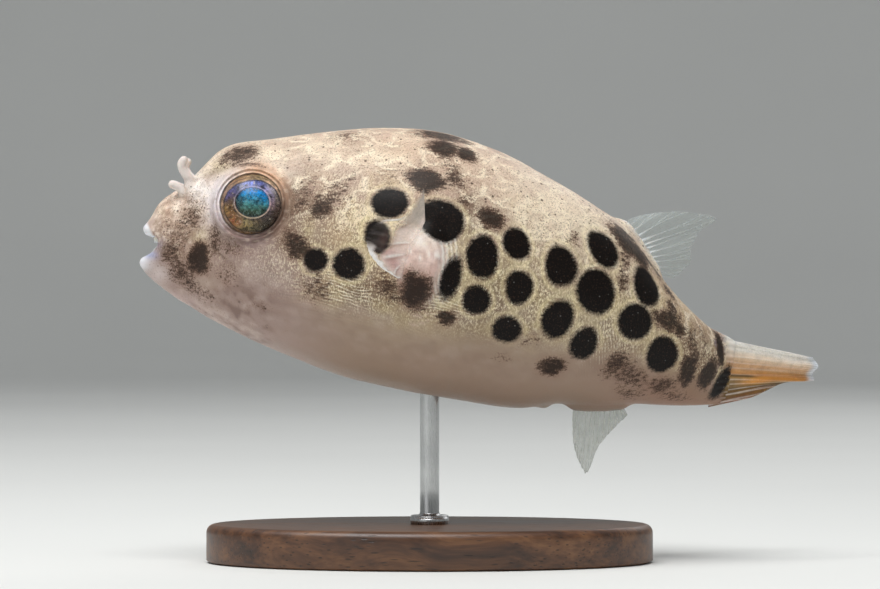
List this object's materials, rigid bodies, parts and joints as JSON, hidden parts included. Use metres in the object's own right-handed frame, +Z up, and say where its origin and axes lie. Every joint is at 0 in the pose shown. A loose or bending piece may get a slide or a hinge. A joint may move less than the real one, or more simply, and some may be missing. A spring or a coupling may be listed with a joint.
{
  "type": "freshwater pufferfish model",
  "caption": "Still, life-size spotted freshwater pufferfish, swimming head up with its tail curled aside, held over a flat oval base by a short rod.",
  "frame": {"origin": "middle of the stand base's flat underside, on the surface it stands on", "axes": "+Z up; +X from the fish's mouth towards its tail, so the fish looks towards -X; +Y towards the fish's right side"},
  "size_m": [0.0902, 0.042, 0.0565],
  "materials": {
    "skin": "satin, cream with round black spots",
    "belly_skin": "satin, pinkish white",
    "lip": "moist, pale",
    "beak": "hard enamel, bluish white",
    "eye": "clear wet cornea over a brown-gold iris and blue-green pupil",
    "fin": "thin translucent membrane over pale rays",
    "tail_fin": "cream and orange folded rays",
    "stand_wood": "dark oiled wood",
    "stand_steel": "brushed"
  },
  "bodies": {
    "root": {"head": "skin", "lower_jaw": "belly_skin", "trunk": "skin", "belly": "belly_skin", "tail_stalk": "skin", "lip_upper": "lip", "lip_lower": "lip", "beak_upper": "beak", "beak_lower": "beak", "eye_left": "eye", "eye_right": "eye", "nostril_feeler_left": "lip", "nostril_feeler_right": "lip", "pectoral_base_left": "skin", "pectoral_base_right": "skin", "pectoral_fin_left": "fin", "pectoral_fin_right": "fin", "dorsal_base": "skin", "dorsal_fin": "fin", "anal_base": "belly_skin", "anal_fin": "fin", "caudal_fin": "tail_fin", "stand_base": "stand_wood", "stand_rod": "stand_steel"}
  },
  "joints": []
}
